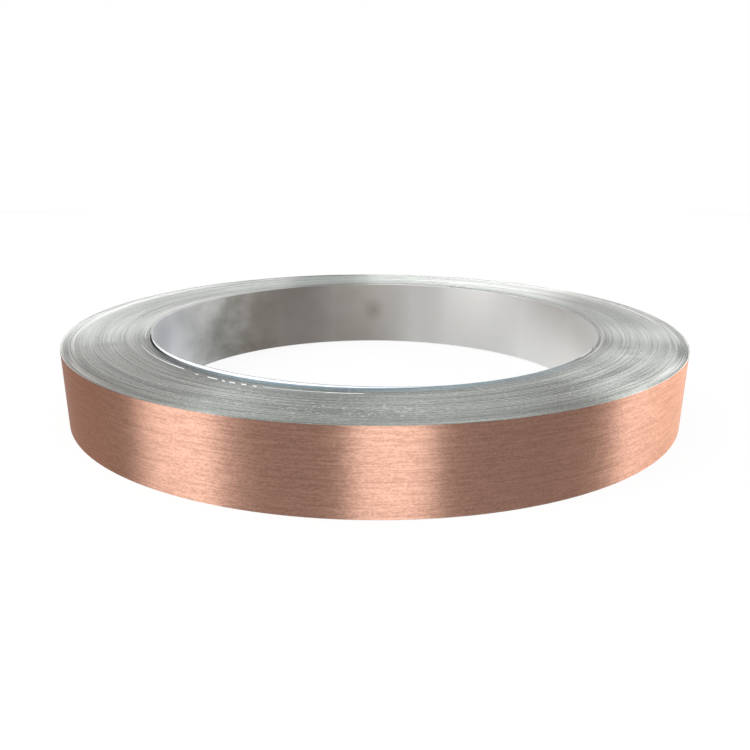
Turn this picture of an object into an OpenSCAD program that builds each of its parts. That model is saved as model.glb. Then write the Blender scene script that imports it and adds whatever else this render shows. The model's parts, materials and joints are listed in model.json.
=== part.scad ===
// Flat-lying coil of coated stainless steel strip, wound on itself without a core.
// The coil stands on its end: its axis is +Z and it rests on the plane z = 0.

/* [Strip] */
// Width of the strip, so the height of every turn
strip_w = 50; // [20:1:80]
// Thickness of the strip with its coating
strip_t = 0.8; // [0.6:0.1:1.5]
// Chamfer that slitting leaves along both edges of the strip
edge_chamfer = 0.12; // [0.05:0.01:0.2]

/* [Coil] */
// Diameter of the bore that the strip was wound on
bore_d = 305; // [200:5:500]
// Number of turns
turns = 73; // [40:1:120]

/* [Winding] */
// How far single turns wander along the axis, either way
wander = 0.15; // [0.05:0.05:0.3]
// Number of outer turns that have slipped down and carry the coil
slipped_turns = 8; // [3:1:12]
// Number of turns over which the slip builds up
slip_steps = 6; // [1:1:8]
// How far the other turns stand above the slipped ones
slip = 1; // [0.6:0.1:2]

/* [Loose inner turn] */
// How far the innermost turn stands proud at its highest point
proud = 1.8; // [1:0.1:4]
// Direction of that highest point, counted from +X towards +Y
proud_direction = 220; // [0:5:355]
// Angle on each side of it at which the turn is level with the others again
proud_reach = 65; // [40:5:85]
// Widest opening between the innermost turn and the next one
gap_w = 1.3; // [0.6:0.1:2]
// Direction of the widest opening
gap_direction = 200; // [0:2:358]
// Angle on each side of it at which the opening closes
gap_reach = 16; // [12:1:40]

/* [Hidden] */
$fn = 180;
bore_r = bore_d / 2;
outer_r = bore_r + turns * strip_t;
inner_turn_r = bore_r + strip_t;
fuse = 1;
clear = 5;
steel = [0.70, 0.71, 0.70];

// Inner radius of turn i, counted outwards from 0.
function turn_r(i) = bore_r + i * strip_t;

// Height of the lower edge of turn i above the floor: the outer turns stand on it, the
// next few climb to the level of the rest, and the rest wander a little about that level.
function climb(i) = min(1, max(0, (turns - slipped_turns - i) / slip_steps));
function stray(i) = wander * sin(i * 137.5) * climb(i);
function lower_z(i) = slip * climb(i) + stray(i);
function upper_z(i) = lower_z(i) + strip_w;

// Chamfer of turn i. The innermost turn keeps square edges, on which its slanted edge lands.
function chamfer(i) = i == 0 ? 0 : edge_chamfer;

// Corners of one turn's upper or lower edge.
function upper_edge(i) = [
    [turn_r(i) + chamfer(i), upper_z(i)],
    [turn_r(i + 1) - chamfer(i), upper_z(i)]
];
function lower_edge(i) = [
    [turn_r(i + 1) - chamfer(i), lower_z(i)],
    [turn_r(i) + chamfer(i), lower_z(i)]
];

// Bottom of the seam on the bore side of turn i. The outermost turn has one on its free side too.
function upper_seam(i) = [turn_r(i), min(upper_z(i - 1), upper_z(min(i, turns - 1))) - edge_chamfer];
function lower_seam(i) = [turn_r(i), max(lower_z(i - 1), lower_z(min(i, turns - 1))) + edge_chamfer];

// Half section of the whole winding, from the bore out along the top and back underneath.
module winding_section() {
    polygon(concat(
        upper_edge(0),
        [for (i = [1 : turns - 1]) each concat([upper_seam(i)], upper_edge(i))],
        [upper_seam(turns), lower_seam(turns)],
        [for (i = [turns - 1 : -1 : 1]) each concat(lower_edge(i), [lower_seam(i)])],
        lower_edge(0)
    ));
}

// Band of the innermost turn between a level and the plane in which its edge slants up.
module slanted_band(level) {
    run = bore_r * (1 - cos(proud_reach));
    difference() {
        translate([0, 0, level - fuse])
            cylinder(h = fuse + proud + clear, r = inner_turn_r);
        translate([0, 0, level - fuse - clear])
            cylinder(h = fuse + proud + 3 * clear, r = bore_r);
        translate([0, 0, level])
            rotate([0, 0, proud_direction])
            translate([bore_r * cos(proud_reach), 0, 0])
            rotate([0, -atan(proud / run), 0])
            translate([-2 * outer_r, -2 * outer_r, 0])
            cube([4 * outer_r, 4 * outer_r, 10 * clear + outer_r]);
    }
}

// Crescent between the innermost turn and the next, where that turn has come away.
module loose_gap() {
    closing = inner_turn_r * (1 - cos(gap_reach));
    shift = (gap_w ^ 2 + 2 * inner_turn_r * gap_w) / (2 * (closing + gap_w));
    difference() {
        rotate([0, 0, gap_direction])
            translate([shift, 0, -clear])
            cylinder(h = strip_w + slip + proud + 2 * clear, r = inner_turn_r + gap_w - shift);
        translate([0, 0, -2 * clear])
            cylinder(h = strip_w + slip + proud + 4 * clear, r = inner_turn_r);
    }
}

module strip_coil() {
    color(steel)
    difference() {
        union() {
            rotate_extrude() winding_section();
            slanted_band(upper_z(0));
        }
        slanted_band(lower_z(0));
        loose_gap();
    }
}

strip_coil();
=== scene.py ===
# %% [markdown]
# # A coil of copper-coloured stainless steel strip
#
# The real object is one long strip of steel, slit to width and wound on itself in a flat spiral.
# Its outward face is brushed and copper-coloured, its inward face and its slit edges are bare steel.
# This lesson builds the looks of that coil around a frame that already fixes its size and place.
# The frame comes first, because every later length is read from it.

# %% Load the frame
import json
import math

import bmesh
import bpy
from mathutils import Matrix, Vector


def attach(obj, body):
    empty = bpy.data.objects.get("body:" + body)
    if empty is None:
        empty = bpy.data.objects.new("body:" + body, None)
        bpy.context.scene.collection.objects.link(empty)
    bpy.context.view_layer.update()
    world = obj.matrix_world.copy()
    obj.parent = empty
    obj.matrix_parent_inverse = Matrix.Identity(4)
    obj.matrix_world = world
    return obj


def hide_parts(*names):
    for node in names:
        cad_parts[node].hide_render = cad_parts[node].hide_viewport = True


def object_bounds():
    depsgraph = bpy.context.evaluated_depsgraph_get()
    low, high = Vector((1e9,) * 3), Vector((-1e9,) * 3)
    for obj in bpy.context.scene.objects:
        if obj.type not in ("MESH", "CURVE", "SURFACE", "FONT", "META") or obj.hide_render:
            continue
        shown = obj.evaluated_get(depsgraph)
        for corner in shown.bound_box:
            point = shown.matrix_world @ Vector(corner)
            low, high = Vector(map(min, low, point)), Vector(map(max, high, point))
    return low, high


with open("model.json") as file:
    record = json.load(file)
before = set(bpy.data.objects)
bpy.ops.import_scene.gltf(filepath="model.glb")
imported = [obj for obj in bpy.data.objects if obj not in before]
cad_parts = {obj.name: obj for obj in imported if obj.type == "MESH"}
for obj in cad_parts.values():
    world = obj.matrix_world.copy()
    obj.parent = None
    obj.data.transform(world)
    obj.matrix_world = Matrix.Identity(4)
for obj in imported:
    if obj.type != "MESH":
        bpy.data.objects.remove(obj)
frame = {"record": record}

cad_low, cad_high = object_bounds()
print("coil box in mm:", [round(1000 * side, 1) for side in cad_high - cad_low])

# %% [markdown]
# ## The strip in numbers
#
# A coil is described best by its strip: a bore to wind it on, a pitch from one turn to the next, and
# a number of turns. The sizes could all be typed in, but then they might disagree with the frame. So
# the bore comes from the frame's own mount and the outside from its box, and the pitch follows. All
# lengths are in metres, and directions are counted from +X towards +Y.

# %% Sizes of the strip
MM = 0.001
TAU = 2 * math.pi
bore = next(mount for mount in frame["record"]["mounts"] if mount["name"] == "bore")
BORE_RADIUS = bore["dims"]["r_mm"] * MM
OUTER_RADIUS = min(cad_high.x, cad_high.y, -cad_low.x, -cad_low.y)
TURNS = 73
STRIP_END = TURNS - 1 + 0.66  # turn number at which the strip ends on the outside
PITCH = (OUTER_RADIUS - BORE_RADIUS) / (STRIP_END + 1)
WIDTH = 50 * MM
CHAMFER = 0.12 * MM
strip_length = STRIP_END * TAU * (BORE_RADIUS + OUTER_RADIUS) / 2
print(f"pitch {PITCH / MM:.3f} mm, strip about {strip_length:.0f} m long")

# %% How the winding strays from a perfect one
SLIP = 1 * MM  # how far the outer turns have slipped down, onto the floor
SLIPPED_TURNS = 8
SLIP_STEPS = 6  # turns over which the slip builds up
WANDER = 0.15 * MM  # how far the other turns wander along the axis
LOOSE_SHARE = 0.06  # how far they are out of round, as a share of the pitch
INNER_END = math.radians(336)  # direction of the strip's inner end
PROUD = cad_high.z - WIDTH - SLIP  # how far the innermost turn stands up
PROUD_DIRECTION = math.radians(220)
PROUD_REACH = math.radians(65)
GAP = 1.3 * MM  # widest opening behind the innermost turn
GAP_DIRECTION = math.radians(206)
GAP_REACH = math.radians(18)
GAP_FADE_TURNS = 12  # turns over which the push outwards dies away
print(f"innermost turn stands {PROUD / MM:.2f} mm proud")

# %% [markdown]
# ## Sums that make nodes
#
# The turns follow a rule, so Geometry Nodes can place them. The Math nodes could be wired by hand, one
# after another, but a long sum is hard to read that way. This small class lets a socket be written as
# a number instead: each sign or function adds one Math node behind the scenes. The same class serves
# the shader trees further down.

# %% Nodes and their sockets
def feed(tree, socket, value):
    """Sets a socket to a plain value, or links it to another socket or Sum."""
    if isinstance(value, Sum):
        value = value.socket
    if isinstance(value, bpy.types.NodeSocket):
        tree.links.new(value, socket)
    else:
        socket.default_value = value


def add(tree, kind, inputs=(), **settings):
    """Adds a node, sets its properties, and feeds its inputs by name or by number."""
    node = tree.nodes.new(kind)
    for name, value in settings.items():
        setattr(node, name, value)
    for name, value in dict(inputs).items():
        feed(tree, node.inputs[name], value)
    return node


print("the nodes' names are those of Blender", bpy.app.version_string)

# %% A socket that can be used in sums
class Sum:
    def __init__(self, tree, socket):
        self.tree = tree
        self.socket = socket

    def math(self, operation, *others, clamp=False):
        node = self.tree.nodes.new("ShaderNodeMath")
        node.operation = operation
        node.use_clamp = clamp
        for socket, value in zip(node.inputs, (self, *others)):
            feed(self.tree, socket, value)
        return Sum(self.tree, node.outputs[0])

    def __add__(self, other):
        return self.math("ADD", other)

    def __sub__(self, other):
        return self.math("SUBTRACT", other)

    def __mul__(self, other):
        return self.math("MULTIPLY", other)

    def __truediv__(self, other):
        return self.math("DIVIDE", other)

    def __neg__(self):
        return self.math("MULTIPLY", -1)

    __radd__ = __add__
    __rmul__ = __mul__

    def __rsub__(self, other):
        return (-self) + other

    def at_least(self, other):
        return self.math("MAXIMUM", other)

    def at_most(self, other):
        return self.math("MINIMUM", other)

    def clamped(self):
        """Kept between 0 and 1."""
        return self.math("ADD", 0, clamp=True)

    def size(self):
        """Without its sign."""
        return self.math("ABSOLUTE")

    def floor(self):
        return self.math("FLOOR")

    def sin(self):
        return self.math("SINE")

    def cos(self):
        return self.math("COSINE")

    def over(self, limit):
        """1 where this is more than the limit, and 0 elsewhere."""
        return self.math("GREATER_THAN", limit)


print("a Sum can be:", [name for name in vars(Sum) if not name.startswith("_")])

# %% Sums with points
GIVE_NUMBERS = ("LENGTH", "DISTANCE", "DOT_PRODUCT")


def vectors(tree, operation, *inputs):
    """The result of a Vector Math node, as a Sum where it is a plain number."""
    node = add(tree, "ShaderNodeVectorMath", enumerate(inputs), operation=operation)
    if operation in GIVE_NUMBERS:
        return Sum(tree, node.outputs["Value"])
    return node.outputs["Vector"]


def stretched(tree, place, scale):
    """A place with each coordinate times its own scale."""
    return vectors(tree, "MULTIPLY", place, scale)


def from_axis(tree, place):
    """A place without its height, so an arrow to it from the axis of the coil."""
    return stretched(tree, place, (1, 1, 0))


def height_of(tree, place):
    return Sum(tree, add(tree, "ShaderNodeSeparateXYZ", {0: place}).outputs["Z"])


def point_at(tree, radius, angle, height):
    """The point at a distance from the axis, in a direction, at a height."""
    point = add(tree, "ShaderNodeCombineXYZ",
                {"X": radius * angle.cos(), "Y": radius * angle.sin(), "Z": height})
    return point.outputs[0]


print("Vector Math gives a plain number for", GIVE_NUMBERS)

# %% [markdown]
# ## One rule for the whole spiral
#
# Every point of the strip is known from its turn number, counted from the inner end: the angle falls
# by a full circle for each turn, and the radius grows by one pitch. A loop could place the points one
# by one, but as sums the rule stands in one place and serves every tree. A perfect spiral would look
# like a drawing, so small rules disturb it. The outermost turns have slipped down to the floor, and
# each turn wanders a little along the axis and out of round. Near its free end the innermost turn
# stands proud, and a crescent gap opens behind it. Both fade to nothing along the same smooth hump.

# %% Humps and waves
def hump(angle, direction, reach):
    """1 in one direction, falling to 0 at a reach on either side of it, and 0 beyond."""
    fall = math.cos(reach)
    return (((angle - direction).cos() - fall) / (1 - fall)).at_least(0)


def wave(tree, along, scale, seed):
    """A smooth random value between -1 and 1 that depends on the way along the strip."""
    noise = add(tree, "ShaderNodeTexNoise", {"W": along + seed, "Scale": scale, "Detail": 2},
                noise_dimensions="1D")
    return Sum(tree, noise.outputs[0]) * 2 - 1


print(f"gap {2 * math.degrees(GAP_REACH):.0f} degrees long, proud stretch "
      f"{2 * math.degrees(PROUD_REACH):.0f} degrees long")

# %% Where the strip runs
LOOSE_WAVES = 5  # waves a turn, out of round
SLOW_WAVES = 0.9  # waves a turn, along the axis
QUICK_WAVES = 3.1
TURN_BY_TURN = math.radians(137.5)  # an angle that hardly repeats, so neighbours differ


def strip_angle(turn):
    return INNER_END - turn * TAU


def strip_radius(tree, turn, angle, seed):
    """Radius of the strip's inward face."""
    behind_innermost = turn.over(0.99)
    pushed = hump(angle, GAP_DIRECTION, GAP_REACH) * GAP * behind_innermost
    fading = ((GAP_FADE_TURNS - turn) / (GAP_FADE_TURNS - 1)).clamped()
    loose = wave(tree, turn, LOOSE_WAVES, seed + 40) * (turn / 3).clamped()
    settled = ((TURNS - 4 - turn) / 4).clamped()  # the last turns lie tight
    return turn * PITCH + BORE_RADIUS + pushed * fading + loose * settled * (LOOSE_SHARE * PITCH)


def strip_lift(tree, turn, angle, seed):
    """Height of the strip's lower edge above the floor."""
    climb = ((TURNS - SLIPPED_TURNS - turn) / SLIP_STEPS).clamped()
    free = ((turn - 1) / 3).clamped() * climb  # the first and the slipped turns don't wander
    swing = (turn * TURN_BY_TURN).sin() * (wave(tree, turn, SLOW_WAVES, seed) * 0.5 + 0.5)
    ripple = wave(tree, turn, QUICK_WAVES, seed + 20) * 0.6
    proud = hump(angle, PROUD_DIRECTION, PROUD_REACH) * PROUD * turn.math("LESS_THAN", 1)
    return climb * SLIP + free * (swing + ripple) * WANDER + proud


print(f"from end to end the strip moves {STRIP_END * PITCH / MM:.1f} mm away from the axis")

# %% [markdown]
# ## The ends of the turns
#
# Seen from above, the coil is a disc of thin steel edges with a fine dark seam between each two. A
# bump map could fake them, but low light shows real relief better, and the seams are what the eye
# reads as strip. So the upper and the lower side are real surfaces: a plain grid is rolled up along
# the spiral, with one column of it for each step round the coil.

# %% A grid rolled up along the spiral
SEGMENTS = 240  # steps round the coil
BAKE_MAP = "OFBake"


def named_input(tree, source, name, kind="NodeSocketFloat"):
    """A named input of the tree, as a Sum."""
    tree.interface.new_socket(name, in_out="INPUT", socket_type=kind)
    return Sum(tree, source.outputs[name])


def new_tree(name):
    tree = bpy.data.node_groups.new(name, "GeometryNodeTree")
    tree.interface.new_socket("Geometry", in_out="OUTPUT", socket_type="NodeSocketGeometry")
    return tree, tree.nodes.new("NodeGroupInput")


def rolled_sheet(tree, rows, place, share, flipped):
    """A grid of segments by rows, each vertex put where place says, with its part of the bake map."""
    grid = add(tree, "GeometryNodeMeshGrid", {"Vertices X": SEGMENTS + 1, "Vertices Y": rows + 1})
    index = Sum(tree, tree.nodes.new("GeometryNodeInputIndex").outputs[0])
    column = ((index + 0.5) / (rows + 1)).floor()
    row = index - column * (rows + 1)
    point = point_at(tree, *place(column / SEGMENTS, row))
    moved = add(tree, "GeometryNodeSetPosition",
                {"Geometry": grid.outputs["Mesh"], "Position": point})
    low, high = share
    on_map = vectors(tree, "MULTIPLY_ADD", grid.outputs["UV Map"], (1, high - low, 0), (0, low, 0))
    kept = add(tree, "GeometryNodeStoreNamedAttribute",
               {"Geometry": moved.outputs[0], "Name": BAKE_MAP, "Value": on_map},
               data_type="FLOAT2", domain="CORNER")
    if flipped:
        kept = add(tree, "GeometryNodeFlipFaces", {"Mesh": kept.outputs[0]})
    return kept.outputs[0]


print(f"steps of {TAU * OUTER_RADIUS / SEGMENTS / MM:.1f} mm along the outermost turn")

# %% [markdown]
# ## Across one turn
#
# Each turn's end is a narrow land between two chamfers, and a seam parts it from the next turn. One
# flat face a turn would show no seam, and a full cross-section would be mostly hidden. Five faces are
# enough: seam wall, chamfer, land, chamfer and seam wall. A short list says where their corners lie,
# and an Index Switch picks the right corner for each row of the grid. The seams of the first and the
# last turn also have a wall each, which closes the ring.

# %% Corners of one turn
SEAM_DEPTH = 0.45 * MM
SEAM_HALF = 0.03 * MM
SECTION = [  # across one turn: distance from the nearer face, and depth below the land
    (0, SEAM_DEPTH), (SEAM_HALF, CHAMFER), (SEAM_HALF + CHAMFER, 0),
    (-SEAM_HALF - CHAMFER, 0), (-SEAM_HALF, CHAMFER),
]


def pick(tree, index, values):
    """The value that stands at an index in a short list."""
    switch = tree.nodes.new("GeometryNodeIndexSwitch")
    switch.data_type = "FLOAT"
    for _ in values[2:]:
        switch.index_switch_items.new()
    for socket, value in zip(switch.inputs, (index, *values)):
        feed(tree, socket, value)
    return Sum(tree, switch.outputs[0])


print(f"seams {2 * SEAM_HALF / MM:.2f} mm wide and {SEAM_DEPTH / MM:.2f} mm deep")

# %% Places on the ends and in the seams
def end_of_turns(tree, first, seed, upper):
    """Gives the place function of a sheet that shows the upper or lower ends of the turns."""
    def place(fraction, row):
        count = ((row + 0.5) / len(SECTION)).floor()
        corner = row - count * len(SECTION)
        turn = first + count + fraction
        angle = strip_angle(turn)
        facing = turn + corner.over(2.5)
        radius = strip_radius(tree, facing, angle, seed) + pick(tree, corner, [x for x, _ in SECTION])
        behind = turn - (1 - corner.over(0.5))
        here = strip_lift(tree, turn, angle, seed)
        there = strip_lift(tree, behind, angle, seed)
        depth = pick(tree, corner, [d for _, d in SECTION])
        if upper:
            return radius, angle, here.at_most(there) + WIDTH - depth
        return radius, angle, here.at_least(there) + depth
    return place


def side_of_turns(tree, turn_at, seed):
    """Gives the place function of the wall in a seam, from its lower bottom to its upper one."""
    upper = end_of_turns(tree, turn_at, seed, True)
    lower = end_of_turns(tree, turn_at, seed, False)

    def place(fraction, row):
        seam = row * 0  # the first corner of a turn is the bottom of its seam
        radius, angle, low = lower(fraction, seam)
        _, _, high = upper(fraction, seam)
        return radius, angle, low + (high - low) * row
    return place


print(f"{len(SECTION) * SEGMENTS} faces a turn on each end of the coil")

# %% [markdown]
# ## A ring of whole turns
#
# Most of the coil's turns show only their ends, so a ring of them is two rolled sheets and two walls.
# Merge by Distance sews the four together into one closed skin. Smooth shading would round off the
# chamfers, and flat shading would show every step round the coil. So edges that bend sharply stay
# sharp, and the rest is smooth.

# %% Shading, and the end of each tree
SHARP_BEND = 20  # degrees


def finish_tree(tree, mesh, finishes):
    """Ends a tree: instances made real, then each material set on its own faces."""
    made = add(tree, "GeometryNodeRealizeInstances", {"Geometry": mesh}).outputs[0]
    for faces, material in finishes:
        made = add(tree, "GeometryNodeSetMaterial",
                   {"Geometry": made, "Selection": faces, "Material": material}).outputs[0]
    out = tree.nodes.new("NodeGroupOutput")
    tree.links.new(made, out.inputs[0])
    print(f"{tree.name}: {len(tree.nodes)} nodes")


def smooth_along(tree, mesh):
    """Smooth shading along the strip, with the corners of its section kept sharp."""
    bend = tree.nodes.new("GeometryNodeInputMeshEdgeAngle")
    corner = Sum(tree, bend.outputs[0]).over(math.radians(SHARP_BEND))
    smooth = add(tree, "GeometryNodeSetShadeSmooth", {"Geometry": mesh}, domain="FACE")
    sharp = add(tree, "GeometryNodeSetShadeSmooth",
                {"Geometry": smooth.outputs[0], "Selection": corner, "Shade Smooth": False},
                domain="EDGE")
    return sharp.outputs[0]


print(f"edges that bend more than {SHARP_BEND} degrees stay sharp")

# %% Nodes for a ring of turns
SEWING_DISTANCE = 1e-7


def turns_tree():
    """Geometry Nodes for a closed ring of whole turns, from one turn number to another."""
    tree, source = new_tree("rolled turns")
    first = named_input(tree, source, "First turn")
    count = named_input(tree, source, "Turn count", "NodeSocketInt")
    seed = named_input(tree, source, "Seed")
    steel = named_input(tree, source, "Steel", "NodeSocketMaterial")
    rows = count * len(SECTION)
    sheets = [
        rolled_sheet(tree, rows, end_of_turns(tree, first, seed, True), (0, 0.6), False),
        rolled_sheet(tree, rows, end_of_turns(tree, first, seed, False), (0.6, 0.9), True),
        rolled_sheet(tree, 1, side_of_turns(tree, first, seed), (0.9, 0.95), False),
        rolled_sheet(tree, 1, side_of_turns(tree, first + count, seed), (0.95, 1), True),
    ]
    whole = tree.nodes.new("GeometryNodeJoinGeometry")
    for sheet in sheets:
        tree.links.new(sheet, whole.inputs[0])
    sewn = add(tree, "GeometryNodeMergeByDistance",
               {"Geometry": whole.outputs[0], "Distance": SEWING_DISTANCE})
    finish_tree(tree, smooth_along(tree, sewn.outputs[0]), [(True, steel)])
    return tree


turns_nodes = turns_tree()

# %% [markdown]
# ## Single turns that show their sides
#
# The innermost and the outermost turn show a whole face as well as their edges. A rolled sheet could
# be given those faces too, but here the strip itself is simpler: its real cross-section, a thin
# rectangle with chamfered corners, is swept along the same path. Curve to Mesh does that in one node,
# and its caps close the strip's two free ends. The outward and the inward face get materials of their
# own, chosen by the way their normals point.

# %% Path of the strip, and the way its faces look
FACING_LIMIT = 0.9


def facing_outward(tree):
    """1 on faces that look away from the axis, and -1 on those that look at it."""
    place = tree.nodes.new("GeometryNodeInputPosition").outputs[0]
    normal = tree.nodes.new("GeometryNodeInputNormal").outputs[0]
    away = vectors(tree, "NORMALIZE", from_axis(tree, place))
    return vectors(tree, "DOT_PRODUCT", normal, away)


def path_of_strip(tree, first, count, points, middle, lift, seed):
    """A curve along the middle of the strip, with its section kept upright."""
    line = tree.nodes.new("GeometryNodeCurvePrimitiveLine")
    evenly = add(tree, "GeometryNodeResampleCurve", {"Curve": line.outputs[0], "Count": points})
    along = Sum(tree, tree.nodes.new("GeometryNodeSplineParameter").outputs["Factor"])
    turn = first + count * along
    angle = strip_angle(turn)
    radius = strip_radius(tree, turn, angle, seed) + middle
    height = strip_lift(tree, turn, angle, seed) + lift
    path = add(tree, "GeometryNodeSetPosition",
               {"Geometry": evenly.outputs[0], "Position": point_at(tree, radius, angle, height)})
    upright = add(tree, "GeometryNodeSetCurveNormal", {"Curve": path.outputs[0]}, mode="Z_UP")
    return upright.outputs[0]


print(f"an outward face looks at most {math.degrees(math.acos(FACING_LIMIT)):.0f} degrees aside")

# %% Nodes for a swept length of strip
def strip_tree():
    """Geometry Nodes for a closed length of strip, from one turn number on for a count of turns."""
    tree, source = new_tree("swept strip")
    first = named_input(tree, source, "First turn")
    count = named_input(tree, source, "Turn count")
    points = named_input(tree, source, "Points", "NodeSocketInt")
    middle = named_input(tree, source, "Middle")
    thickness = named_input(tree, source, "Thickness")
    low = named_input(tree, source, "Low")
    high = named_input(tree, source, "High")
    chamfer = named_input(tree, source, "Chamfer")
    seed = named_input(tree, source, "Seed")
    steel = named_input(tree, source, "Steel", "NodeSocketMaterial")
    inward = named_input(tree, source, "Inward", "NodeSocketMaterial")
    outward = named_input(tree, source, "Outward", "NodeSocketMaterial")

    path = path_of_strip(tree, first, count, points, middle, (low + high) / 2, seed)
    section = add(tree, "GeometryNodeCurvePrimitiveQuadrilateral",
                  {"Width": thickness, "Height": high - low})
    eased = add(tree, "GeometryNodeFilletCurve",
                {"Curve": section.outputs[0], "Radius": chamfer, "Count": 1}, mode="POLY")
    swept = add(tree, "GeometryNodeCurveToMesh",
                {"Curve": path, "Profile Curve": eased.outputs[0], "Fill Caps": True})
    facing = facing_outward(tree)
    finish_tree(tree, smooth_along(tree, swept.outputs[0]),
                [(True, steel), ((-facing).over(FACING_LIMIT), inward),
                 (facing.over(FACING_LIMIT), outward)])
    return tree


strip_nodes = strip_tree()

# %% [markdown]
# ## From nodes to a plain mesh
#
# A modifier left on a piece would be worked out again at every look, and the finished coil needs only
# its mesh. So each tree runs once on a throw-away object, whose evaluated mesh is copied to a new
# piece. The ends that are still open are filled, and the mesh is measured: no open edge and a positive
# volume say that it is closed and that its faces look outwards.

# %% Growing a mesh
def shown(name, mesh):
    """An object for a mesh, in the scene and at the origin."""
    piece = bpy.data.objects.new(name, mesh)
    bpy.context.scene.collection.objects.link(piece)
    return piece


def grown(name, tree, **values):
    """A plain mesh made by a tree with these inputs; the modifier is gone afterwards."""
    carrier = bpy.data.objects.new(name + "_carrier", bpy.data.meshes.new(name))
    bpy.context.scene.collection.objects.link(carrier)
    modifier = carrier.modifiers.new("grow", "NODES")
    modifier.node_group = tree
    sockets = {item.name: item.identifier for item in tree.interface.items_tree
               if item.in_out == "INPUT"}
    for label, value in values.items():
        modifier[sockets[label.replace("_", " ")]] = value
    depsgraph = bpy.context.evaluated_depsgraph_get()
    mesh = bpy.data.meshes.new_from_object(carrier.evaluated_get(depsgraph), depsgraph=depsgraph)
    bpy.data.objects.remove(carrier)
    if mesh.materials[0] is None:  # the empty slot that a new grid starts with
        mesh.materials.pop(index=0)
    return shown(name, mesh)


print("meshes before any has grown:", [mesh.name for mesh in bpy.data.meshes])

# %% Closing a piece
def close_ends(piece):
    """Fills the open ends of a strip, so that the piece is closed, and says what it holds."""
    sheet = bmesh.new()
    sheet.from_mesh(piece.data)
    bmesh.ops.holes_fill(sheet, edges=[edge for edge in sheet.edges if edge.is_boundary])
    open_edges = sum(not edge.is_manifold for edge in sheet.edges)
    triangles = sum(len(face.verts) - 2 for face in sheet.faces)
    volume = sheet.calc_volume(signed=True)
    sheet.to_mesh(piece.data)
    sheet.free()
    print(f"{piece.name}: {triangles} triangles, {open_edges} open edges, {volume * 1e6:.0f} cm3")


print("a closed piece has 0 open edges and a positive volume")

# %% [markdown]
# ## Tools for the finishes
#
# The finishes are noise on Object coordinates, at the scales of the real marks. An image could hold
# them too, but it would blur up close and need a map. A few short helpers keep the trees readable: one
# makes a material, others make noise, spread its contrast, blend two colours and raise a bump.
#
# Brushed metal needs one thing more. Its fine lines spread each reflection across them and keep it
# narrow along them. That is anisotropy, with a tangent that runs round the axis.

# %% Shader helpers
def new_material(name):
    material = bpy.data.materials.new(name)
    material.use_nodes = True
    tree = material.node_tree
    shader = tree.nodes["Principled BSDF"]
    return material, tree, shader


def object_place(tree):
    return tree.nodes.new("ShaderNodeTexCoord").outputs["Object"]


def noise(tree, vector, detail=2):
    node = add(tree, "ShaderNodeTexNoise", {"Vector": vector, "Scale": 1, "Detail": detail})
    return Sum(tree, node.outputs[0])


def contrast(value, strength):
    """Spreads a noise value round its middle, and keeps it between 0 and 1."""
    return ((value - 0.5) * strength + 0.5).clamped()


def blend_colours(tree, amount, dark, light):
    node = add(tree, "ShaderNodeMix", {"Factor": amount}, data_type="RGBA")
    for socket, colour in zip(node.inputs[6:8], (dark, light)):
        feed(tree, socket, (*colour, 1) if isinstance(colour, tuple) else colour)
    return node.outputs[2]


def raised(tree, height, distance):
    return add(tree, "ShaderNodeBump", {"Height": height, "Distance": distance}).outputs[0]


print("materials before the finishes:", len(bpy.data.materials))

# %% Brushed metal
ACROSS_LINES = 0.25  # of a full turn


def brushed(shader, spread):
    """Metal with fine lines round the axis: reflections spread across those lines."""
    tree = shader.id_data
    round_axis = add(tree, "ShaderNodeTangent", direction_type="RADIAL", axis="Z")
    feed(tree, shader.inputs["Tangent"], round_axis.outputs[0])
    shader.inputs["Metallic"].default_value = 1
    shader.inputs["Anisotropic"].default_value = spread
    shader.inputs["Anisotropic Rotation"].default_value = ACROSS_LINES


print(f"reflections spread at {360 * ACROSS_LINES:.0f} degrees to the brushed lines")

# %% [markdown]
# ## Brushed copper colour
#
# The outward face has a copper-coloured coating, brushed along the strip, so fine streaks run round
# the coil. One stretched noise would look like combed hair. Four are mixed here, from long lines down
# to a short grain, each squeezed in height and stretched along the face. Together they drive a little
# colour and roughness, and the two middle ones a fine bump. The light still does most of the work: the
# anisotropy draws each lamp out up and down the face.

# %% Copper coating
COPPER_DARK = (0.390, 0.218, 0.161)
COPPER_LIGHT = (0.560, 0.332, 0.248)
COPPER_AT_A_SLANT = (0.92, 0.70, 0.60, 1)


def copper_coating():
    material, tree, shader = new_material("brushed copper coating")
    place = object_place(tree)
    long_lines = noise(tree, stretched(tree, place, (14, 14, 800)), detail=1)
    lines = noise(tree, stretched(tree, place, (50, 50, 1100)), detail=1)
    scratches = noise(tree, stretched(tree, place, (170, 170, 1300)), detail=1)
    grain = noise(tree, stretched(tree, place, (650, 650, 1300)), detail=0)
    mixed = long_lines * 0.20 + lines * 0.26 + scratches * 0.26 + grain * 0.28
    streak = contrast(mixed, 5.6)
    feed(tree, shader.inputs["Base Color"],
         blend_colours(tree, streak, COPPER_DARK, COPPER_LIGHT))
    feed(tree, shader.inputs["Roughness"], 0.40 + streak * 0.05)
    feed(tree, shader.inputs["Normal"], raised(tree, lines + scratches * 0.5, 0.06 * MM))
    shader.inputs["Specular Tint"].default_value = COPPER_AT_A_SLANT
    brushed(shader, 1.0)
    print(f"{material.name}: {len(tree.nodes)} nodes")
    return material


COPPER = copper_coating()

# %% [markdown]
# ## Places round the coil
#
# Wear, stains and tints, and the painted highlights, shade and reflections, lie in certain directions
# and at certain distances from the axis. They could be painted by hand on a map, but a few soft shapes
# say the same in fewer words: a sector, a band, a spot, and noise that runs along the turns. All of
# them read the Object coordinates, so every mark keeps its place on the steel, whatever side the coil
# is seen from.

# %% Sectors, bands and spots
def on_ring(azimuth, radius, height=0.0):
    """A point at a direction in degrees and a distance from the axis."""
    angle = math.radians(azimuth)
    return Vector((radius * math.cos(angle), radius * math.sin(angle), height))


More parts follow.
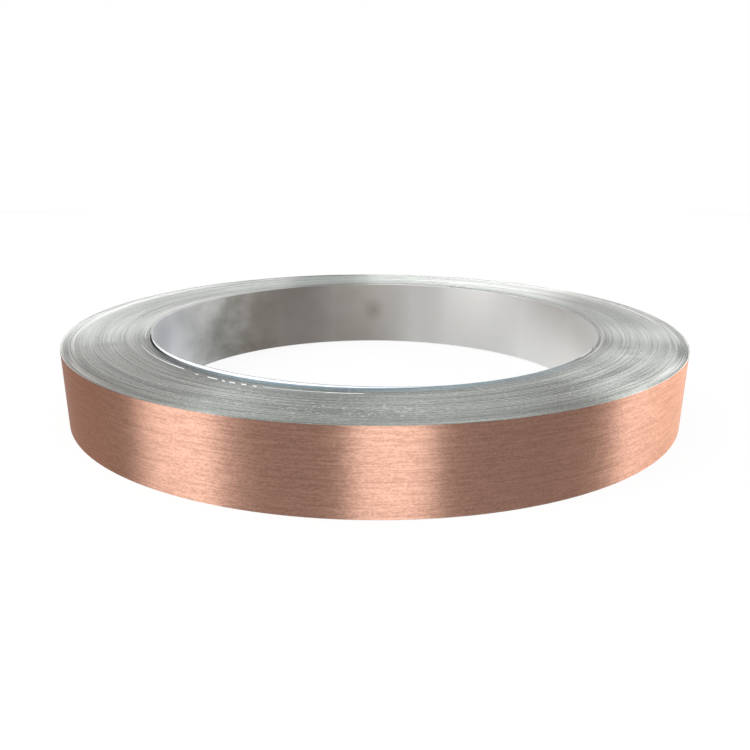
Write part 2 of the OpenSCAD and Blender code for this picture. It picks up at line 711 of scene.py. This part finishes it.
def toward(tree, place, azimuth, reach):
    """1 in one direction round the axis, falling to 0 at a reach on either side, both in degrees."""
    unit = vectors(tree, "NORMALIZE", from_axis(tree, place))
    aimed = vectors(tree, "DOT_PRODUCT", unit, on_ring(azimuth, 1))
    fall = math.cos(math.radians(reach))
    return ((aimed - fall) / (1 - fall)).clamped()


def soft_band(radius, middle, reach):
    """1 on a circle round the axis, falling to 0 at a reach from it, both in mm."""
    return (1 - (radius - middle * MM).size() / (reach * MM)).clamped()


def soft_spot(tree, place, centre, reach):
    """1 at a point of the object, falling to 0 at a reach from it."""
    return (1 - vectors(tree, "DISTANCE", place, centre) / reach).clamped()


def radius_of(tree, place):
    return vectors(tree, "LENGTH", from_axis(tree, place))


def ring_noise(tree, place, pitch, along, detail):
    """Noise that changes over a pitch across the turns and over a length along them, in metres."""
    flat = stretched(tree, place, (1 / along, 1 / along, 0))
    lift = add(tree, "ShaderNodeCombineXYZ", {"Z": radius_of(tree, place) / pitch})
    return noise(tree, vectors(tree, "ADD", flat, lift.outputs[0]), detail=detail)


def strongest(layers):
    """The largest of several Sums at each place."""
    first, *others = layers
    for layer in others:
        first = first.at_least(layer)
    return first


print("front of the bore, in mm:", [round(side / MM, 1) for side in on_ring(270, BORE_RADIUS)])

# %% [markdown]
# ## Bare steel edges: their tone
#
# The slit edges are bare steel. Each was cut, handled and scuffed a little differently, so their tone
# changes from turn to turn but hardly along a turn. One noise alone would look too even. So three
# are mixed: one changes with every turn, one over groups of turns, and one is made of short flecks.
# The first is stronger in some zones: near the bore, and on the left and right sides of the outer
# turns that slipped down, where the coil looks lined.

# %% Zones of the slit edges
BORE_BAND = 9  # mm
SLIPPED_BAND = 9
CLEAN_BAND = 2  # next to the bore, where the sides aren't lined
TURN_NOISE = (0.8 * MM, 0.09)  # how far it takes to change, across the turns and along them
GROUP_NOISE = (4.2 * MM, 0.3)
FLECK_NOISE = (0.6 * MM, 1.8 * MM)


class EdgeZones:
    """What all layers of the slit edges share: their places, their noises and their zones."""

    def __init__(self, tree):
        self.tree = tree
        self.place = object_place(tree)
        self.radius = radius_of(tree, self.place)
        self.from_bore = (self.radius - BORE_RADIUS) / MM
        self.from_rim = (self.radius - OUTER_RADIUS) / MM
        self.turns = ring_noise(tree, self.place, *TURN_NOISE, detail=1)
        self.groups = ring_noise(tree, self.place, *GROUP_NOISE, detail=1)
        self.flecks = ring_noise(tree, self.place, *FLECK_NOISE, detail=0)
        self.near_bore = (1 - self.from_bore / BORE_BAND).clamped()
        self.slipped = (self.from_rim / SLIPPED_BAND + 1).over(0)
        self.front = self.toward(270, 85)
        self.sides = self.toward(5, 48) + self.toward(178, 48)
        clear = (self.from_bore - CLEAN_BAND).clamped()
        self.lined = (self.near_bore * clear * 2 + self.slipped * 2) * self.sides

    def toward(self, azimuth, reach):
        return toward(self.tree, self.place, azimuth, reach)


def edge_tone(edge):
    """0 for the darkest steel and 1 for the lightest."""
    layers = [
        (edge.turns, edge.lined * 2.5 + edge.near_bore * 2 + 3),
        (edge.groups, 0.9),
        (edge.flecks, edge.front * 0.5 + 0.6),
    ]
    return (sum((layer - 0.5) * strength for layer, strength in layers) + 0.5).clamped()


print(f"{BORE_BAND * MM / PITCH:.0f} turns near the bore, {SLIPPED_BAND * MM / PITCH:.0f} slipped ones")

# %% [markdown]
# ## Bare steel edges: what darkens them
#
# Handling leaves smudges, and the turns next to the bore are darker than the rest. The other dark
# layers are painted shade: the slipped turns and the rim on the far side, the front of the end, a short
# stretch on the right next to the bore that the lamps would light as a bright ring, and, where the
# sides look lined, the grooves between the lines. Each of these could be a dark colour of its own, but
# smudges and shade only take away light. So each is a layer that lowers the brightness of the steel
# under it, with a strength of its own.

# %% Dark layers of the slit edges
SMUDGES = [  # direction in degrees, distance from the axis and reach in mm
    (200, 181, 11), (338, 172, 7), (334, 177, 7), (330, 184, 6),
]
INSIDE_BAND = 20  # mm
FIRST_EDGE_BAND = 1.5
# grooves on the lined sides get painted shade
GROOVE_SHADE_BELOW = 0.47  # turns whose noise is lower than this are grooves


def edge_shade(edge):
    """The share of its brightness that each place keeps."""
    handled = strongest(
        soft_spot(edge.tree, edge.place, on_ring(azimuth, distance * MM, WIDTH + SLIP), reach * MM)
        for azimuth, distance, reach in SMUDGES)
    inside = (1 - edge.from_bore / INSIDE_BAND).clamped() * (edge.toward(180, 70) * 0.15 + 0.38)
    # painted shade: tones down a bright ring that the lamps put on the first turns right of the bore
    first_edge_shade = (3.4 - edge.from_bore / FIRST_EDGE_BAND).clamped() * edge.toward(12, 60)
    # painted shade in the grooves between the lines on the lined sides
    groove_shade = ((GROOVE_SHADE_BELOW - edge.turns) * 10).clamped() * edge.lined.clamped()
    # painted shade: the low slipped turns on the far side, and a dark line along the far rim
    far_turns_shade = (edge.from_rim * 0.5 + 3.5).clamped() * edge.toward(90, 72)
    rim_shade_line = (edge.from_rim + 1.5).clamped() * edge.toward(90, 112) * 1.4
    darker = [
        (handled * contrast(edge.flecks, 3), 0.6),
        (inside, 1),
        (first_edge_shade, 0.2),
        # painted shade: the front of the end is made darker
        (edge.front, 0.12),
        (groove_shade, 0.2),
        (strongest([far_turns_shade, rim_shade_line]).clamped(), 0.7),
    ]
    return 1 + edge.slipped * edge.sides * 0.15 - sum(layer * depth for layer, depth in darker)


print(f"{len(SMUDGES)} smudges, {max(reach for *_, reach in SMUDGES)} mm at most")

# %% [markdown]
# ## Bare steel edges: what brightens them
#
# Slitting leaves small burrs, which catch the light as short bright flecks; here those flecks are
# painted highlights. Several stretches of the end carry painted highlights where lamps would reflect,
# and on the lined sides the ridges carry painted glints. These could be raised as bumps, but at this
# size a bump would only sparkle. So they are a lighter steel, laid on where any of the three is strong.

# %% Bright layers of the slit edges
# painted highlights: stretches of the end where lamps would reflect
RUBBED = [  # direction and reach in degrees, distance from the axis and reach in mm, strength
    (160, 34, 200, 11, 0.75), (158, 30, 159, 7, 0.60), (32, 50, 199, 11, 0.60),
    (56, 36, 182, 24, 0.45), (200, 22, 210.5, 1.2, 1.0),
]
# ridges on the lined sides get painted glints
RIDGE_GLINTS_OVER = 0.54  # turns whose noise is higher than this are ridges


def edge_shine(edge):
    """1 where painted highlights brighten the steel, and 0 where it keeps its tone."""
    # painted glints: burrs that catch the light, more of them in a patch at the front
    glint_patch = edge.toward(268, 17) * soft_band(edge.radius, 192, 14)
    burr_glints = ((edge.flecks - 0.66 + glint_patch * 0.05) * 8).clamped()
    rubbed = strongest(
        edge.toward(azimuth, spread) * soft_band(edge.radius, distance, reach) * strength
        for azimuth, spread, distance, reach, strength in RUBBED)
    # painted glints on the crests of the lined sides
    ridge_glints = ((edge.turns - RIDGE_GLINTS_OVER) * 10).clamped() * edge.lined.clamped()
    bright = [
        burr_glints * (edge.front * 0.25 + 0.1 + glint_patch * 0.6),
        rubbed * (edge.turns * 0.6 + 0.7),
        ridge_glints * (1 - edge.near_bore * 0.5) * 0.8,
    ]
    return strongest(bright).clamped()


print(f"{len(RUBBED)} rubbed stretches")

# %% [markdown]
# ## Bare steel edges: the whole finish
#
# The layers come together in one material. At the front of the bore the steel is tinted a dark
# blue-green. The walls between the turns aren't bare: film covers them, so they are dull and not
# metal. A second material could do that, but the walls lie on the same rolled sheet as the lands, and
# the way a face points tells them apart well enough.

# %% Slit edges
STEEL_DARK = (0.215, 0.235, 0.215)
STEEL_LIGHT = (0.52, 0.55, 0.52)
# colour of the painted highlights and glints on the edges
HIGHLIGHT_STEEL = (0.80, 0.81, 0.79)
BORE_FRONT_TINT = (0.17, 0.26, 0.31)
COVERED_WALL = (0.42, 0.43, 0.41)


def covered_walls(tree):
    """1 on the walls between the turns, and 0 on their lands and chamfers."""
    facing = tree.nodes.new("ShaderNodeNewGeometry").outputs["Normal"]
    return (2 - height_of(tree, facing).size() * 4).clamped()


def slit_edges():
    material, tree, shader = new_material("slit steel edges")
    edge = EdgeZones(tree)
    steel = blend_colours(tree, edge_tone(edge), STEEL_DARK, STEEL_LIGHT)
    shaded = add(tree, "ShaderNodeVectorMath", {0: steel, "Scale": edge_shade(edge)},
                 operation="SCALE")
    # a dark blue-green tint at the front of the bore
    tinted = edge.toward(266, 62) * edge.near_bore * 1.4
    land = blend_colours(tree, tinted.clamped(), shaded.outputs[0], BORE_FRONT_TINT)
    land = blend_colours(tree, edge_shine(edge), land, HIGHLIGHT_STEEL)
    wall = covered_walls(tree)
    feed(tree, shader.inputs["Base Color"], blend_colours(tree, wall, land, COVERED_WALL))
    feed(tree, shader.inputs["Metallic"], 1 - wall)
    feed(tree, shader.inputs["Roughness"], 0.24 + edge.turns * 0.16)
    feed(tree, shader.inputs["Normal"], raised(tree, edge.groups + edge.turns * 0.4, 0.08 * MM))
    brushed(shader, 0.1)
    print(f"{material.name}: {len(tree.nodes)} nodes")
    return material


EDGES = slit_edges()

# %% [markdown]
# ## Satin steel face
#
# The inward face has the satin finish of the mill. Its colour carries painted reflections of the
# surroundings as well: soft clouds, one long darker stretch and one small round dark spot are painted
# dark reflections. To the right a painted bright reflection lightens the steel, and to the left a
# painted reflection turns it a cool grey. The clouds are noise, but noise can't put a dark reflection
# where it belongs, so the others are sectors and a spot with their places written down.

# %% Satin face
SATIN_DARK = (0.62, 0.63, 0.625)
SATIN_LIGHT = (0.74, 0.745, 0.73)
SATIN_REFLECTED_LIGHT = (0.90, 0.90, 0.88)
SATIN_COOL_REFLECTION = (0.68, 0.70, 0.76)
DARK_REFLECTION_BROWN = (0.16, 0.14, 0.12)
DARK_REFLECTION_GREY = (0.15, 0.16, 0.15)
# painted dark reflections on the bore face
DARK_REFLECTIONS = [  # direction and reach around the bore in degrees, strength
    (118, 52, 0.86), (146, 24, 0.18), (90, 14, 0.17), (58, 20, 0.35),
]
ROUND_DARK_REFLECTION = (90.5, 29, 11)  # direction in degrees, height and reach in mm
ROUND_DARK_REFLECTION_STRENGTH = 0.16


def satin_steel():
    material, tree, shader = new_material("satin steel face")
    place = object_place(tree)
    cloud = noise(tree, stretched(tree, place, (40, 40, 58)), detail=3)
    grain = noise(tree, stretched(tree, place, (90, 90, 1500)), detail=1)
    # painted dark reflections: clouds, sectors and one round spot
    painted_dark_reflection = (cloud - 0.5) * (0.16 + toward(tree, place, 150, 28) * 0.6)
    for azimuth, reach, strength in DARK_REFLECTIONS:
        painted_dark_reflection = painted_dark_reflection + toward(tree, place, azimuth, reach) * strength
    azimuth, height, reach = ROUND_DARK_REFLECTION
    centre = on_ring(azimuth, BORE_RADIUS, height * MM)
    painted_dark_reflection = painted_dark_reflection + soft_spot(tree, place, centre, reach * MM) * ROUND_DARK_REFLECTION_STRENGTH
    dark_reflection_colour = blend_colours(tree, toward(tree, place, 164, 34), DARK_REFLECTION_BROWN, DARK_REFLECTION_GREY)
    tone = contrast(cloud * 0.7 + grain * 0.3, 1.4)
    reflecting_satin = blend_colours(tree, tone, SATIN_DARK, SATIN_LIGHT)
    # a painted bright reflection on the right, and a painted cool-grey reflection on the left
    reflecting_satin = blend_colours(tree, toward(tree, place, 8, 40) * 0.8, reflecting_satin, SATIN_REFLECTED_LIGHT)
    reflecting_satin = blend_colours(tree, toward(tree, place, 174, 22) * 0.7, reflecting_satin, SATIN_COOL_REFLECTION)
    feed(tree, shader.inputs["Base Color"],
         blend_colours(tree, painted_dark_reflection.clamped(), reflecting_satin, dark_reflection_colour))
    shader.inputs["Roughness"].default_value = 0.45
    brushed(shader, 0.4)
    print(f"{material.name}: {len(tree.nodes)} nodes")
    return material


SATIN = satin_steel()

# %% [markdown]
# ## Protective film
#
# A thin white plastic film protects the coated side of the strip. It shows where it stands above the
# ends of the turns, and down between them it is in deep shade. That shade could be left to the light,
# but broad lamps reach too deep into the gap behind the innermost turn. So the film's colour changes
# from white to nearly black at the level of the turns.

# %% White film
FILM_DARK = (0.84, 0.88, 0.92)
FILM_LIGHT = (0.93, 0.94, 0.95)
FILM_IN_SHADE = (0.012, 0.012, 0.014)
SHADE_TOP = WIDTH + SLIP + 0.05 * MM
SHADE_FADE = 0.1 * MM


def white_film():
    material, tree, shader = new_material("white film")
    place = object_place(tree)
    crease = noise(tree, stretched(tree, place, (60, 60, 400)))
    bare = blend_colours(tree, crease, FILM_DARK, FILM_LIGHT)
    buried = ((SHADE_TOP - height_of(tree, place)) / SHADE_FADE).clamped()
    feed(tree, shader.inputs["Base Color"], blend_colours(tree, buried, bare, FILM_IN_SHADE))
    feed(tree, shader.inputs["Normal"], raised(tree, crease, 0.05 * MM))
    shader.inputs["Roughness"].default_value = 0.35
    print(f"{material.name}: {len(tree.nodes)} nodes")
    return material


FILM = white_film()

# %% [markdown]
# ## A map for the swept strips
#
# The rings get their map for baking as they are rolled. A swept strip gets none, and an automatic
# unwrap would cut it anywhere. Its shape is simple enough to lay out: the way round the coil is cut
# into rows, and each row gives most of its height to the one face that shows.

# %% Lay out the strip in rows
MAP_ROWS = 3
MAP_MARGIN = 0.02


def lay_out_map(piece, wide_side):
    """Stores a bake map: the strip in rows, with most of each row for one of its two faces."""
    mesh = piece.data
    layer = mesh.uv_layers.new(name=BAKE_MAP)
    shares = {wide_side: (0.04, 0.74), -wide_side: (0.76, 0.90), 0: (0.92, 0.96)}  # of a row
    low = min(vertex.co.z for vertex in mesh.vertices)
    high = max(vertex.co.z for vertex in mesh.vertices)
    for face in mesh.polygons:
        middle = math.atan2(face.center.y, face.center.x) % TAU
        row = int(middle / TAU * MAP_ROWS)
        away = Vector((face.center.x, face.center.y, 0)).normalized()
        facing = face.normal.dot(away)
        side = round(facing) if abs(facing) > FACING_LIMIT else 0
        start, end = shares[side]
        for corner in face.loop_indices:
            spot = mesh.vertices[mesh.loops[corner].vertex_index].co
            angle = math.atan2(spot.y, spot.x) % TAU
            turned = (angle - middle + math.pi) % TAU - math.pi + middle
            along = turned / TAU * MAP_ROWS - row
            up = (spot.z - low) / (high - low)
            layer.uv[corner].vector = (MAP_MARGIN + (1 - 2 * MAP_MARGIN) * along,
                                       (row + start + (end - start) * up) / MAP_ROWS)
    print(f"{piece.name}: map for {len(mesh.polygons)} faces")


print(f"{MAP_ROWS} rows, each for {360 / MAP_ROWS:.0f} degrees of the way round")

# %% [markdown]
# ## Growing the pieces
#
# The coil could be grown as one mesh, but that would be too heavy to handle. It is grown in four
# lengths of the same spiral instead, from the inside out: the innermost turn, two rings of turns that
# show only their ends, and the outermost turns with the strip's free end. The innermost turn's edges
# are eased less than the others. One seed serves all four, so that they meet exactly.

# %% Grow the innermost turn
SEED = 3.0
THICKNESS = PITCH - 2 * SEAM_HALF
SMALL_EASE = 0.03 * MM
INWARD_FACE = -1
OUTWARD_FACE = 1


def single_turn(name, first, count, points, wide_side, inward, outward, chamfer):
    piece = grown(name, strip_nodes, First_turn=float(first), Turn_count=count, Points=points,
                  Middle=PITCH / 2, Thickness=THICKNESS, Low=0.0, High=WIDTH, Chamfer=chamfer,
                  Seed=SEED, Steel=EDGES, Inward=inward, Outward=outward)
    close_ends(piece)
    lay_out_map(piece, wide_side)
    return piece


inner_turn = single_turn("inner_turn", 0, 1.0, 480, INWARD_FACE, SATIN, FILM, SMALL_EASE)

# %% Grow the two rings of turns
HALFWAY = 37
LAST = TURNS - 2


def ring_of_turns(name, first, last):
    piece = grown(name, turns_nodes, First_turn=float(first), Turn_count=last - first,
                  Seed=SEED, Steel=EDGES)
    close_ends(piece)
    return piece


inner_turns = ring_of_turns("wound_turns_inner", 1, HALFWAY)
outer_turns = ring_of_turns("wound_turns_outer", HALFWAY, LAST)

# %% Grow the outermost turns
outer_turn = single_turn("outer_turn", LAST, STRIP_END - LAST, 1000, OUTWARD_FACE, EDGES, COPPER,
                         CHAMFER)

# %% [markdown]
# ## Film that shows between the turns
#
# In a few seams the protective film has crept up and stands above the slit edges as a thin white
# line, torn into dashes along part of its way. A painted line would lie flat on the steel and vanish
# at a low angle. So each dash is the same swept strip as the turns, only very thin, and each has a
# height of its own. All dashes are joined to one mesh.

# %% Film edges
FILM_SPANS = [  # turn, directions in degrees between which its film stands up, and how far in mm
    (0, 325, 333, 0.42), (10, 203, 227, 0.42), (13, 231.7, 232.5, 0.42), (13, 235.2, 237.8, 0.42),
    (14, 239.2, 239.9, 0.42), (14, 241, 242.4, 0.42), (14, 243.8, 244.9, 0.42), (14, 246.4, 247.2, 0.42),
    (13, 248.3, 261, 0.12), (13, 261, 268, 0.22),
]
FILM_THICKNESS = 0.14 * MM
FILM_ROOT = 1.2 * MM  # how deep it reaches below the level of its turn


def film_dash(turn, start, end, height):
    """A thin strip in the seam outside a turn, between two directions."""
    first = turn + (INNER_END - math.radians(end)) / TAU
    count = math.radians(end - start) / TAU
    points = max(3, int(end - start) * 2)
    return grown("dash", strip_nodes, First_turn=first, Turn_count=count, Points=points,
                 Middle=PITCH, Thickness=FILM_THICKNESS, Low=WIDTH - FILM_ROOT,
                 High=WIDTH + height * MM, Chamfer=SMALL_EASE, Seed=SEED, Steel=FILM, Inward=FILM,
                 Outward=FILM)


def film_edge(spans):
    """One mesh of thin strips in their seams, one for each span."""
    whole = bmesh.new()
    for span in spans:
        dash = film_dash(*span)
        whole.from_mesh(dash.data)
        bpy.data.objects.remove(dash)
    mesh = bpy.data.meshes.new("film_edge")
    whole.to_mesh(mesh)
    whole.free()
    mesh.materials.append(FILM)
    return shown("film_edge", mesh)


film = film_edge(FILM_SPANS)
close_ends(film)

# %% [markdown]
# ## Tying the pieces to the frame
#
# The frame has one body and one solid. Every piece is told which body it moves with, and the finish
# of the record that it stands for is printed beside it. The four lengths of strip together stand for
# the solid, so they hide it. The film is an extra and replaces nothing. This could be written out
# piece by piece, but a short table shows at a glance that none is forgotten.

# %% Ride and replace, with each piece's finish printed
SLOTS = [
    (inner_turn, "bare_steel"), (inner_turns, "bare_steel"), (outer_turns, "bare_steel"),
    (outer_turn, "copper_coating"), (film, "protective_film"),
]
for piece, slot in SLOTS:
    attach(piece, "root")
    if piece is not film:
        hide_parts("strip_coil")
    print(f"{piece.name}: {slot}")

# %% [markdown]
# ## Floor and world
#
# The floor and the sky are plain white. Enough light to make them so would wash out the coil. So they
# glow for the camera and in reflections, and light the coil at a plain level only. Light Path tells the
# two kinds of ray apart. The floor is part paint as well, which lets the coil's shadow show.

# %% Floor
FLOOR_HALF = 1.3
FLOOR_GLOW = 0.88
FLOOR_PAINT = (0.9, 0.9, 0.9, 1)


def seen_directly(tree):
    """1 for what the camera sees, also by way of a reflection, and 0 for light that lands on things."""
    path = tree.nodes.new("ShaderNodeLightPath")
    names = ("Is Camera Ray", "Is Glossy Ray", "Is Transmission Ray")
    return strongest(Sum(tree, path.outputs[name]) for name in names)


def bare_material(name):
    """A material with an empty tree, and its output node."""
    material = bpy.data.materials.new(name)
    material.use_nodes = True
    tree = material.node_tree
    tree.nodes.clear()
    return material, tree, tree.nodes.new("ShaderNodeOutputMaterial")


def studio_floor(half):
    mesh = bpy.data.meshes.new("floor")
    corners = [(-half, -half, 0), (half, -half, 0), (half, half, 0), (-half, half, 0)]
    mesh.from_pydata(corners, [], [(0, 1, 2, 3)])
    material, tree, out = bare_material("white floor")
    paint = add(tree, "ShaderNodeBsdfDiffuse", {"Color": FLOOR_PAINT})
    glow = add(tree, "ShaderNodeEmission", {"Strength": 1})
    mix = add(tree, "ShaderNodeMixShader",
              {0: seen_directly(tree) * FLOOR_GLOW, 1: paint.outputs[0], 2: glow.outputs[0]})
    tree.links.new(mix.outputs[0], out.inputs[0])
    mesh.materials.append(material)
    shown("floor", mesh)
    print(f"floor {2 * half:.1f} m wide")


studio_floor(FLOOR_HALF)

# %% World
SKY_LEVEL = 0.8


def studio_world(level):
    world = bpy.data.worlds.new("studio")
    bpy.context.scene.world = world
    world.use_nodes = True
    tree = world.node_tree
    background = tree.nodes["Background"]
    background.inputs["Color"].default_value = (1, 1, 1, 1)
    feed(tree, background.inputs["Strength"], seen_directly(tree) * (1 - level) + level)
    print(f"sky lights the coil at {level:.1f} and looks like 1.0")


studio_world(SKY_LEVEL)

# %% [markdown]
# ## Softboxes
#
# Bright metal shows its surroundings, so they have to be designed. Spots would leave small hard
# glints. Upright soft panels draw broad bands instead, and each is placed by the directions between
# which the coil sees it. Three stand at the left, in front and at the right, and draw the bright bands
# on the brushed face. A low one beside the right panel widens its band. Three low lamps behind the
# coil put a shine on the far side of its end. The camera doesn't see any of them.

# %% Softboxes
LAMP_DISTANCE = 1.4
SOFTBOX_TOP = 1.6
SOFTBOXES = [  # name, directions in degrees between which it stands, low and high end, brightness
    ("left softbox", -169, -140, 0.02, SOFTBOX_TOP, 4.6),
    ("front softbox", -97, -72, 0.02, SOFTBOX_TOP, 4.6),
    ("right softbox", -7, 22, 0.02, 0.95, 4.3),
    ("right fill", 22, 46, 0.02, 0.45, 3.7),
    ("back left lamp", 98, 120, 0.04, 0.32, 3.0),
    ("back right lamp", 73, 91, 0.06, 0.40, 3.6),
    ("back right fill", 62, 73, 0.05, 0.32, 2.3),
]


def softbox(name, start, end, low, high, level):
    """An upright soft panel between two directions; level is its brightness."""
    width = 2 * LAMP_DISTANCE * math.tan(math.radians(end - start) / 2)
    middle = (start + end) / 2
    data = bpy.data.lights.new(name, "AREA")
    data.shape = "RECTANGLE"
    data.size = width
    data.size_y = high - low
    data.energy = level * math.pi * width * (high - low)
    lamp = bpy.data.objects.new(name, data)
    bpy.context.scene.collection.objects.link(lamp)
    lamp.location = on_ring(middle, LAMP_DISTANCE, (low + high) / 2)
    lamp.rotation_euler = (math.pi / 2, 0, math.radians(middle + 90))
    lamp.visible_camera = False
    print(f"{name}: {width:.2f} by {high - low:.2f} m, {data.energy:.1f} W")


for box in SOFTBOXES:
    softbox(*box)

# %% [markdown]
# ## Cards
#
# Between the lamps the metal would show the white sky and look flat. A darker sky would help, but it
# would dim the light as well. So cards stand there and draw the dark bands, as black card does in a
# studio. They are a warm dark brown, because the copper's shade is warm. Others above the right
# panels and beside the back lamps keep parts of the end from shining, and a grey one over the back
# lamps keeps the near side of the end calm. The cards are curved round the coil and glow in their own
# tone. They light no matt surface and cast no shadow.

# %% Cards
CARD_DISTANCE = 1.5
CARD_FOOT = 0.002
CARD_TOP = 1.8
CARD_STEPS = 12
DARKER = (0.070, 0.008, 0.005)
DARK = (0.09, 0.018, 0.012)
BROWN = (0.13, 0.030, 0.018)
GREY = (0.45, 0.45, 0.45)
CARDS = [  # name, directions in degrees between which it stands, low and high end, tone
    ("front left card", -139, -98, CARD_FOOT, CARD_TOP, DARK),
    ("front right card", -71, -8, CARD_FOOT, CARD_TOP, DARKER),
    ("back left card", 121, 190, CARD_FOOT, CARD_TOP, BROWN),
    ("right top card", -8, 22, 0.95, CARD_TOP, DARK),
    ("right fill card", 22, 46, 0.50, CARD_TOP, DARK),
    ("low back card", 46, 61, CARD_FOOT, 0.44, DARK),
    ("narrow back card", 61, 73, 0.34, 0.44, DARK),
    ("back card", 49, 121, 0.44, CARD_TOP, GREY),
]


def card(name, start, end, low, high, tone):
    """A curved card between two directions, which bright metal shows as a band of its tone."""
    steps = CARD_STEPS
    sides = [start + (end - start) * step / steps for step in range(steps + 1)]
    rims = [on_ring(azimuth, CARD_DISTANCE, height) for height in (low, high) for azimuth in sides]
    faces = [(i, i + 1, i + 2 + steps, i + 1 + steps) for i in range(steps)]
    mesh = bpy.data.meshes.new(name)
    mesh.from_pydata(rims, [], faces)
    material, tree, out = bare_material(name)
    glow = add(tree, "ShaderNodeEmission", {"Color": (*tone, 1)})
    tree.links.new(glow.outputs[0], out.inputs[0])
    mesh.materials.append(material)
    made = shown(name, mesh)
    made.visible_camera = False
    made.visible_diffuse = False
    made.visible_shadow = False


for board in CARDS:
    card(*board)
print(f"{len(CARDS)} cards at {CARD_DISTANCE} m")

# %% [markdown]
# ## Camera
#
# The coil is looked at from the front and a little from above, so that the copper face, the end and
# the far wall of the bore all show. A close camera would bend the rim too much, and a far one would
# flatten the oval. This one stands 2.8 times the coil's radius in front of the axis. It is tilted down,
# and a small vertical shift puts the coil in the middle of the frame.

# %% Camera
CAMERA_PLACE = Vector((0.0014, -2.7986, 0.8820)) * OUTER_RADIUS
CAMERA_TILT = math.radians(90 - 21.45)
CAMERA_TURN = math.radians(0.26)
SENSOR = 36
FOCAL_LENGTH = 40.66176
camera_data = bpy.data.cameras.new("camera")
camera_data.sensor_width = SENSOR
camera_data.lens = FOCAL_LENGTH
camera_data.shift_y = 0.102
camera = bpy.data.objects.new("camera", camera_data)
bpy.context.scene.collection.objects.link(camera)
camera.location = CAMERA_PLACE
camera.rotation_mode = "ZYX"
camera.rotation_euler = (CAMERA_TILT, 0, CAMERA_TURN)
bpy.context.scene.camera = camera
bpy.context.scene.view_settings.view_transform = "Standard"
print(f"camera {camera.location.length:.2f} m away, lens {camera_data.lens:.1f} mm")
